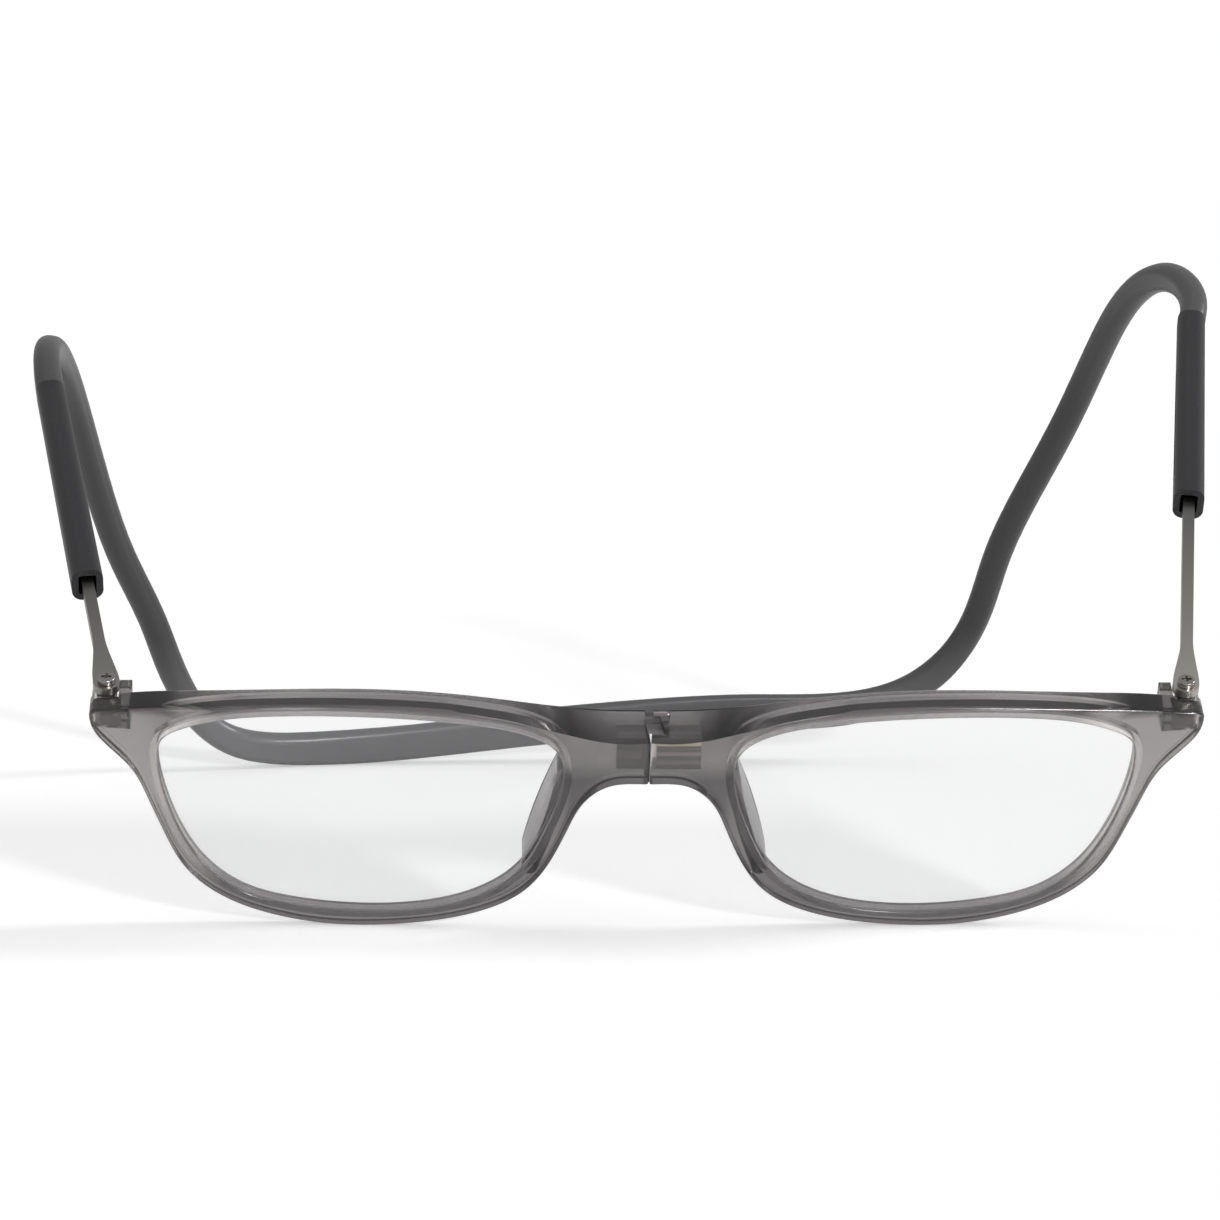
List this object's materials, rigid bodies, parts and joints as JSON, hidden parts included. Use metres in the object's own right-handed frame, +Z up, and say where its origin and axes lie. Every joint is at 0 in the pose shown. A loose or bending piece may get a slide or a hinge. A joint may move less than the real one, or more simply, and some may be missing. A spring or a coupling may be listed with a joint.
{
  "type": "reading glasses with magnetic bridge",
  "caption": "Reading glasses whose bridge parts in the middle and closes with magnets, on sliding arms held by a flexible headband behind the neck.",
  "frame": {"origin": "bottom centre of the whole, on the table it rests on", "axes": "+Z up from the table, -Y out of the front of the lenses, +X along the width, to the right as seen from the front"},
  "size_m": [0.157, 0.1452, 0.0772],
  "materials": {
    "band_rubber": "matt",
    "sleeve_plastic": "matt",
    "shoe_plastic": "matt",
    "arm_metal": "satin",
    "smoke_plastic": "gloss",
    "lens_clear": "gloss",
    "magnet_plating": "plated",
    "bracket_metal": "satin",
    "washer_metal": "satin",
    "screw_nickel": "bright"
  },
  "bodies": {
    "headband_body": {"headband": "band_rubber", "left_sleeve": "sleeve_plastic", "right_sleeve": "sleeve_plastic"},
    "left_arm_body": {"left_arm": "arm_metal", "left_slider_shoe": "shoe_plastic"},
    "right_arm_body": {"right_arm": "arm_metal", "right_slider_shoe": "shoe_plastic"},
    "left_front_body": {"left_front": "smoke_plastic", "left_lens": "lens_clear", "left_magnet": "magnet_plating", "left_hinge_bracket": "bracket_metal", "left_hinge_washer": "washer_metal", "left_hinge_screw": "screw_nickel"},
    "right_front_body": {"right_front": "smoke_plastic", "right_lens": "lens_clear", "right_magnet": "magnet_plating", "right_hinge_bracket": "bracket_metal", "right_hinge_washer": "washer_metal", "right_hinge_screw": "screw_nickel"}
  },
  "joints": [
    {"name": "left_slide", "type": "slide", "parent": "headband_body", "child": "left_arm_body", "axis": [-0.165, 0.8703, 0.4641], "range_m": [-0.0186, 0.00465]},
    {"name": "right_slide", "type": "slide", "parent": "headband_body", "child": "right_arm_body", "axis": [0.1357, 0.8742, 0.4662], "range_m": [0, 0.02325]},
    {"name": "left_hinge", "type": "hinge", "parent": "left_arm_body", "child": "left_front_body", "pos_m": [-0.06526, -0.06523, 0.03062], "axis": [0, -0.4706, 0.8824], "range_deg": [0, 90]},
    {"name": "right_hinge", "type": "hinge", "parent": "right_arm_body", "child": "right_front_body", "pos_m": [0.06474, -0.06523, 0.03062], "axis": [0, -0.4706, 0.8824], "range_deg": [-90, 0]}
  ]
}
